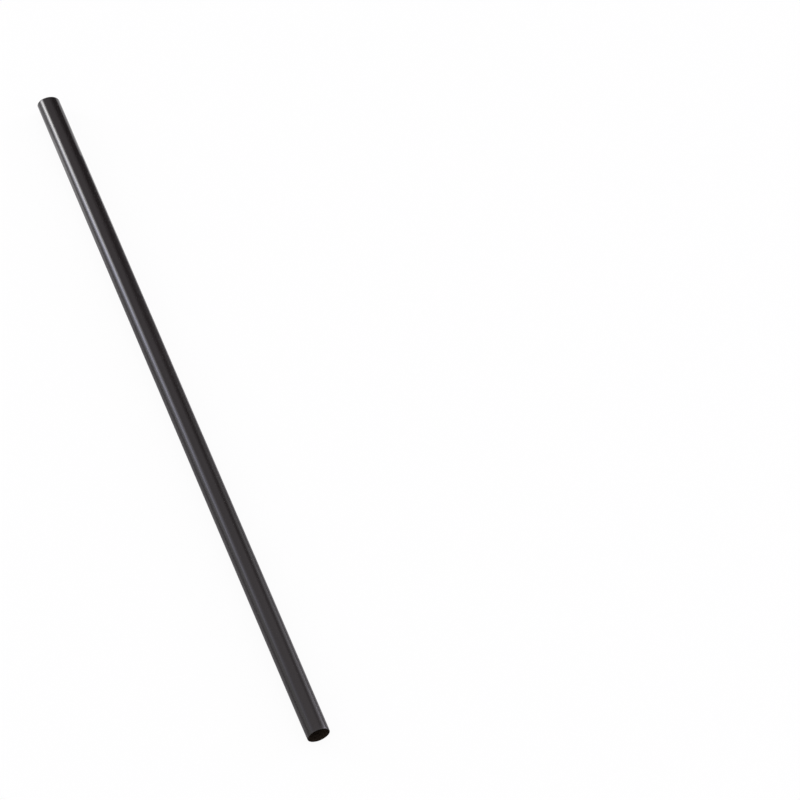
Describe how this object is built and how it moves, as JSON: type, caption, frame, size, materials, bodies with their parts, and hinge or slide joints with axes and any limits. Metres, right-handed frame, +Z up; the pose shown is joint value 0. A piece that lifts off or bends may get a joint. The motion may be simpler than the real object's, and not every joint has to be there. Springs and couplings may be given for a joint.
{
  "type": "drinking straw",
  "caption": "Straight round drinking straw, a thin-walled black plastic tube open from end to end and cut square at both ends.",
  "frame": {"origin": "middle of the straw's length, on the surface that the straw lies on", "axes": "+X along the straw, towards the mouth end that faces the viewer; +Z up from the surface; +Y across the straw"},
  "size_m": [0.197, 0.0058, 0.0058],
  "materials": {
    "black_plastic": "glossy black extruded polypropylene"
  },
  "bodies": {
    "root": {"straw_tube": "black_plastic"}
  },
  "joints": []
}
